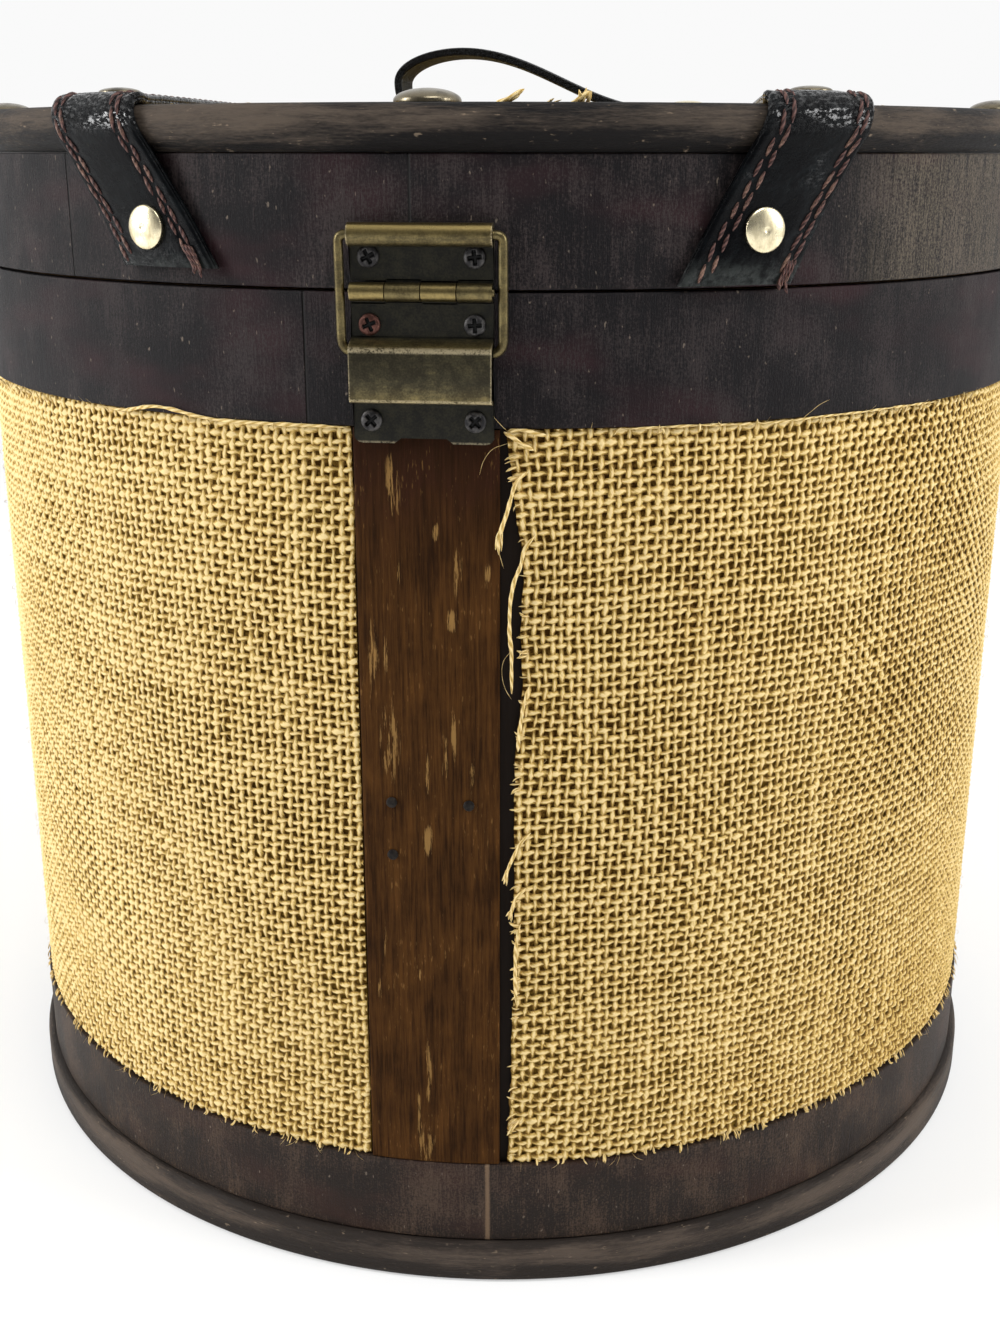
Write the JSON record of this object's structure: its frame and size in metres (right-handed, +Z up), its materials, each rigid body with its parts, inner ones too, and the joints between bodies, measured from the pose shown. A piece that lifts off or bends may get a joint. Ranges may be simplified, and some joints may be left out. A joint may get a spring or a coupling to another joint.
{
  "type": "round storage box",
  "caption": "Round hessian-covered wooden storage box with a hinged lid, riveted leather straps, a leather carrying handle and a self-supporting brass hinge.",
  "frame": {"origin": "centre of the flat underside, on the axis of the round body", "axes": "+Z up along the body's axis, -Y towards the hinge, +X along the hinge pin"},
  "size_m": [0.306, 0.3095, 0.3076],
  "materials": {
    "raw_wood": "bare plywood",
    "stained_wood": "dark purplish-brown stain, worn at the edges",
    "walnut_batten": "walnut stain with light vertical wear",
    "burlap": "natural plain-weave jute hessian",
    "black_leather": "glossy black, edge-stitched",
    "pale_gold": "polished pale gold plating",
    "antique_brass": "antique brass, dark bronze in the flats",
    "dark_steel": "dark bronzed steel"
  },
  "bodies": {
    "box": {"bottom_panel": "raw_wood", "body_wall": "raw_wood", "base_hoop": "stained_wood", "lower_band": "stained_wood", "upper_band": "stained_wood", "back_batten": "walnut_batten", "burlap_wrap": "burlap", "hinge_lower_leaf": "antique_brass", "hinge_pin": "antique_brass", "hinge_spring": "dark_steel", "batten_tack_1": "dark_steel", "batten_tack_2": "dark_steel", "batten_tack_3": "dark_steel", "hinge_screw_body_1": "dark_steel", "hinge_screw_body_2": "dark_steel", "hinge_screw_body_3": "dark_steel", "hinge_screw_body_4": "dark_steel"},
    "lid": {"lid_wall": "raw_wood", "lid_band": "stained_wood", "top_hoop": "stained_wood", "lid_panel": "raw_wood", "lid_burlap": "burlap", "strap_left": "black_leather", "strap_right": "black_leather", "handle_strap": "black_leather", "strap_rivet_left_back_end": "pale_gold", "strap_rivet_left_back_top": "pale_gold", "strap_rivet_left_front_end": "pale_gold", "strap_rivet_left_front_top": "pale_gold", "strap_rivet_right_back_end": "pale_gold", "strap_rivet_right_back_top": "pale_gold", "strap_rivet_right_front_end": "pale_gold", "strap_rivet_right_front_top": "pale_gold", "lid_stud_1": "pale_gold", "lid_stud_2": "pale_gold", "lid_stud_3": "pale_gold", "lid_stud_4": "pale_gold", "lid_stud_5": "pale_gold", "lid_stud_6": "pale_gold", "handle_rivet_left": "pale_gold", "handle_rivet_right": "pale_gold", "hinge_upper_leaf": "antique_brass", "hinge_screw_lid_1": "dark_steel", "hinge_screw_lid_2": "dark_steel"},
    "bail": {"support_bail": "antique_brass"}
  },
  "joints": [
    {"name": "lid_hinge", "type": "hinge", "parent": "box", "child": "lid", "pos_m": [0, -0.15275, 0.2507], "axis": [1, 0, 0], "range_deg": [0, 85]},
    {"name": "bail_pivot", "type": "hinge", "parent": "lid", "child": "bail", "pos_m": [0, -0.15325, 0.2625], "axis": [1, 0, 0], "range_deg": [-58, 0]}
  ],
  "couplings": [
    {"joint": "bail_pivot", "follows": "lid_hinge", "ratio": -0.68}
  ]
}
